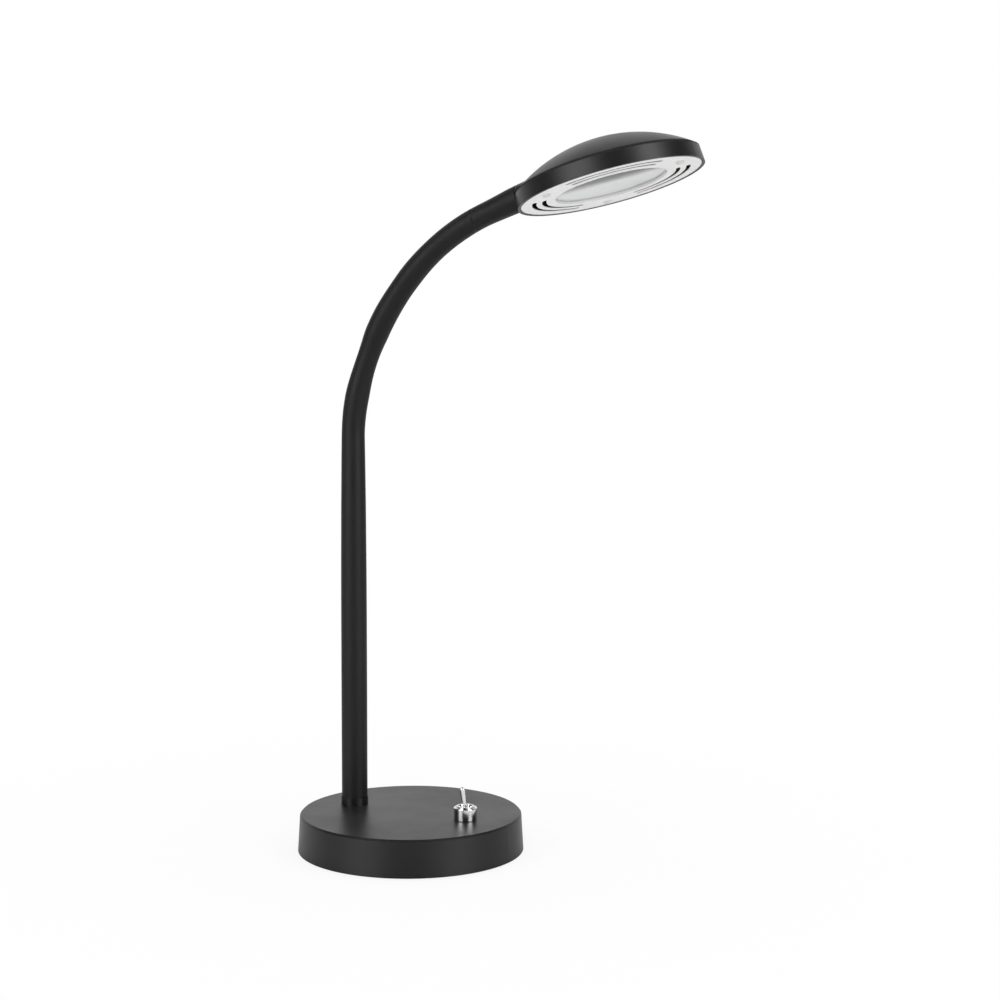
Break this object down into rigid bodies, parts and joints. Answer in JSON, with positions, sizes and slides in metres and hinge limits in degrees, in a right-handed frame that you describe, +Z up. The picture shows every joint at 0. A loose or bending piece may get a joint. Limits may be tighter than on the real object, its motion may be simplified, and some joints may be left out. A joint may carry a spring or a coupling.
{
  "type": "gooseneck desk lamp",
  "caption": "Desk lamp with a weighted round base, toggle switch, bendable rubber-sleeved neck and round vented head.",
  "frame": {"origin": "middle of the round base on the surface it stands on", "axes": "+Z up, +X from the foot of the neck across the base to the switch, which is also the side that the head hangs over, +Y to the left of that"},
  "size_m": [0.2801, 0.1514, 0.4695],
  "materials": {
    "satin_black_metal": "satin black fine-grained powder coat",
    "black_rubber": "matt black silicone rubber",
    "black_foam": "closed-cell foam, matt",
    "cast_iron": "rough cast, painted grey",
    "zinc_steel": "bright zinc plate",
    "chrome": "polished chrome plate",
    "satin_black_plastic": "satin black moulded plastic, fine grain",
    "black_moulding": "plain black moulding",
    "white_plastic": "satin white moulded plastic",
    "lead_sheath": "black round cable sheath",
    "brass": "tinned brass blade",
    "clear_glass": "clear polished glass",
    "bright_reflector": "bright satin aluminium",
    "board_white": "white solder mask",
    "phosphor": "yellow phosphor gel",
    "sink_aluminium": "plain cast aluminium"
  },
  "bodies": {
    "base": {"base_cover": "satin_black_metal", "base_weight": "cast_iron", "base_plate": "zinc_steel", "base_pad": "black_foam", "base_screws": "zinc_steel", "cord_grommet": "black_rubber", "neck_collar": "satin_black_metal", "neck_stud": "zinc_steel", "foot_washer": "zinc_steel", "foot_nut": "zinc_steel", "neck_post": "zinc_steel", "neck_sleeve_0": "black_rubber", "neck_core_0": "zinc_steel", "neck_lead_0": "lead_sheath", "switch_body": "black_moulding", "switch_bushing": "chrome", "switch_lock_washer": "zinc_steel", "switch_dress_nut": "chrome", "switch_pivot_pin": "zinc_steel", "switch_terminals": "brass"},
    "switch_lever": {"switch_lever": "chrome"},
    "neck_link_1": {"neck_sleeve_1": "black_rubber", "neck_core_1": "zinc_steel", "neck_lead_1": "lead_sheath"},
    "neck_link_2": {"neck_sleeve_2": "black_rubber", "neck_core_2": "zinc_steel", "neck_lead_2": "lead_sheath"},
    "neck_link_3": {"neck_sleeve_3": "black_rubber", "neck_core_3": "zinc_steel", "neck_lead_3": "lead_sheath"},
    "neck_link_4": {"neck_sleeve_4": "black_rubber", "neck_core_4": "zinc_steel", "neck_lead_4": "lead_sheath"},
    "neck_link_5": {"neck_sleeve_5": "black_rubber", "neck_core_5": "zinc_steel", "neck_lead_5": "lead_sheath"},
    "neck_link_6": {"neck_sleeve_6": "black_rubber", "neck_core_6": "zinc_steel", "neck_lead_6": "lead_sheath"},
    "neck_link_7": {"neck_sleeve_7": "black_rubber", "neck_core_7": "zinc_steel", "neck_lead_7": "lead_sheath"},
    "neck_link_8": {"neck_sleeve_8": "black_rubber", "neck_core_8": "zinc_steel", "neck_lead_8": "lead_sheath"},
    "head": {"neck_sleeve_9": "black_rubber", "neck_core_9": "zinc_steel", "neck_lead_9": "lead_sheath", "head_ferrule": "satin_black_plastic", "head_spigot": "zinc_steel", "head_set_screw": "zinc_steel", "head_shell": "satin_black_plastic", "trim_ring": "white_plastic", "trim_screws": "zinc_steel", "lens": "clear_glass", "reflector": "bright_reflector", "led_board": "board_white", "led_chips": "phosphor", "heat_sink": "sink_aluminium"}
  },
  "joints": [
    {"name": "neck_bend_low", "type": "hinge", "parent": "base", "child": "neck_link_1", "pos_m": [-0.0452, 0, 0.26749], "axis": [0, 1, 0], "range_deg": [-12, 12]},
    {"name": "neck_sway", "type": "hinge", "parent": "neck_link_1", "child": "neck_link_2", "pos_m": [-0.04435, 0, 0.29126], "axis": [0.9799, 0, -0.1994], "range_deg": [-15, 15]},
    {"name": "neck_bend_low_2", "type": "hinge", "parent": "neck_link_2", "child": "neck_link_3", "pos_m": [-0.03902, 0, 0.31426], "axis": [0, 1, 0], "range_deg": [-12, 12]},
    {"name": "neck_bend_low_3", "type": "hinge", "parent": "neck_link_3", "child": "neck_link_4", "pos_m": [-0.03053, 0, 0.33602], "axis": [0, 1, 0], "range_deg": [-12, 12]},
    {"name": "neck_sway_2", "type": "hinge", "parent": "neck_link_4", "child": "neck_link_5", "pos_m": [-0.01927, 0, 0.3577], "axis": [0.8131, 0, -0.5821], "range_deg": [-15, 15]},
    {"name": "neck_bend_high", "type": "hinge", "parent": "neck_link_5", "child": "neck_link_6", "pos_m": [-0.00514, 0, 0.37663], "axis": [0, 1, 0], "range_deg": [-12, 15]},
    {"name": "neck_bend_high_2", "type": "hinge", "parent": "neck_link_6", "child": "neck_link_7", "pos_m": [0.01109, 0, 0.39377], "axis": [0, 1, 0], "range_deg": [-12, 15]},
    {"name": "neck_sway_3", "type": "hinge", "parent": "neck_link_7", "child": "neck_link_8", "pos_m": [0.02986, 0, 0.40818], "axis": [0.5, 0, -0.866], "range_deg": [-15, 15]},
    {"name": "neck_bend_high_3", "type": "hinge", "parent": "neck_link_8", "child": "head", "pos_m": [0.05074, 0, 0.41953], "axis": [0, 1, 0], "range_deg": [-12, 15]},
    {"name": "switch_toggle", "type": "hinge", "parent": "base", "child": "switch_lever", "pos_m": [0.0424, 0, 0.0282], "axis": [0, 1, 0], "range_deg": [0, 16]}
  ],
  "couplings": [
    {"joint": "neck_bend_low_2", "follows": "neck_bend_low", "ratio": 1},
    {"joint": "neck_bend_low_3", "follows": "neck_bend_low", "ratio": 1},
    {"joint": "neck_sway_2", "follows": "neck_sway", "ratio": 1},
    {"joint": "neck_sway_3", "follows": "neck_sway", "ratio": 1},
    {"joint": "neck_bend_high_2", "follows": "neck_bend_high", "ratio": 1},
    {"joint": "neck_bend_high_3", "follows": "neck_bend_high", "ratio": 1}
  ]
}
